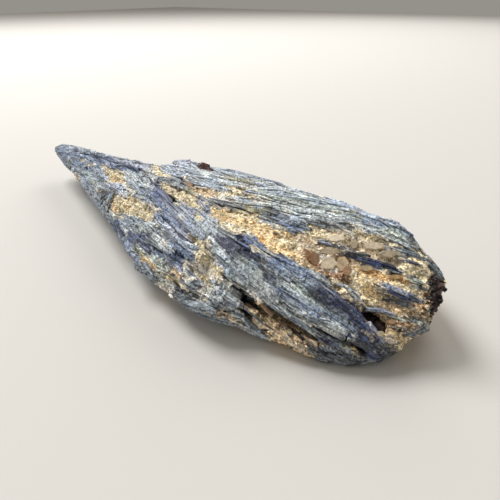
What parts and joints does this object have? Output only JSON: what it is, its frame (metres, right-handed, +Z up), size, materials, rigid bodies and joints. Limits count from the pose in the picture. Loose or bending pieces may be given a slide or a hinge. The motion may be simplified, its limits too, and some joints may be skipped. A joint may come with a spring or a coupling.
{
  "type": "mineral specimen",
  "caption": "Natural mineral specimen: a long wedge of blue kyanite blades grown through cream quartz, with small dark red garnets, resting on a flat underside.",
  "frame": {"origin": "centre of the bounding box's underside, at floor level", "axes": "+X along the rock from its pointed tip to its broken round end, +Y towards its back, +Z up from the flat face it rests on"},
  "size_m": [0.3048, 0.1084, 0.0476],
  "materials": {
    "kyanite": "satin",
    "garnet": "satin"
  },
  "bodies": {
    "root": {"kyanite_rock": "kyanite", "garnet_top": "garnet", "garnet_pocket": "garnet", "garnet_end": "garnet"}
  },
  "joints": []
}
